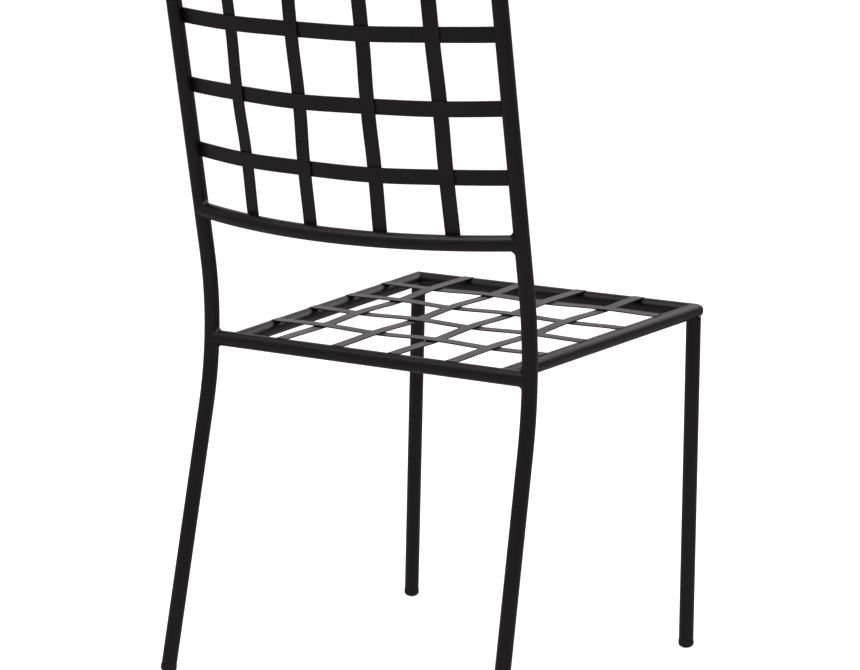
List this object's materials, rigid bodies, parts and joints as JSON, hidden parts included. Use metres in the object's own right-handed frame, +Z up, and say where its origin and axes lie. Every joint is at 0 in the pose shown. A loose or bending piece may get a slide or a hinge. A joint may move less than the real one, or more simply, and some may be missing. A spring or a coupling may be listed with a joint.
{
  "type": "dining chair",
  "caption": "Armless dining chair of welded round steel tube with a woven flat strap seat and a bowed, leaning woven strap back.",
  "frame": {"origin": "on the floor, below the middle of the chair's overall box", "axes": "+Z up, -Y the way the chair faces, +X the sitter's left"},
  "size_m": [0.5276, 0.6026, 0.959],
  "materials": {
    "tube_coating": "satin black powder coat",
    "strap_coating": "satin black powder coat",
    "foot_glide": "matte black"
  },
  "bodies": {
    "root": {"rear_post_left": "tube_coating", "front_leg_left": "tube_coating", "side_seat_rail_left": "tube_coating", "rear_post_right": "tube_coating", "front_leg_right": "tube_coating", "side_seat_rail_right": "tube_coating", "front_seat_rail": "tube_coating", "rear_seat_rail": "tube_coating", "low_back_rail": "tube_coating", "top_back_rail": "tube_coating", "weld_front_leg_left": "tube_coating", "weld_front_leg_right": "tube_coating", "weld_low_back_rail_left": "tube_coating", "weld_low_back_rail_right": "tube_coating", "weld_rear_rail_left": "tube_coating", "weld_rear_rail_right": "tube_coating", "weld_side_rail_left": "tube_coating", "weld_side_rail_right": "tube_coating", "back_row_strap_low": "strap_coating", "back_row_strap_middle": "strap_coating", "back_row_strap_high": "strap_coating", "back_upright_strap_1": "strap_coating", "back_upright_strap_2": "strap_coating", "back_upright_strap_3": "strap_coating", "back_upright_strap_4": "strap_coating", "seat_long_strap_1": "strap_coating", "seat_long_strap_2": "strap_coating", "seat_long_strap_3": "strap_coating", "seat_long_strap_4": "strap_coating", "seat_cross_strap_1": "strap_coating", "seat_cross_strap_2": "strap_coating", "seat_cross_strap_3": "strap_coating", "seat_cross_strap_4": "strap_coating", "front_foot_glide_left": "foot_glide", "front_foot_glide_right": "foot_glide", "rear_foot_glide_left": "foot_glide", "rear_foot_glide_right": "foot_glide"}
  },
  "joints": []
}
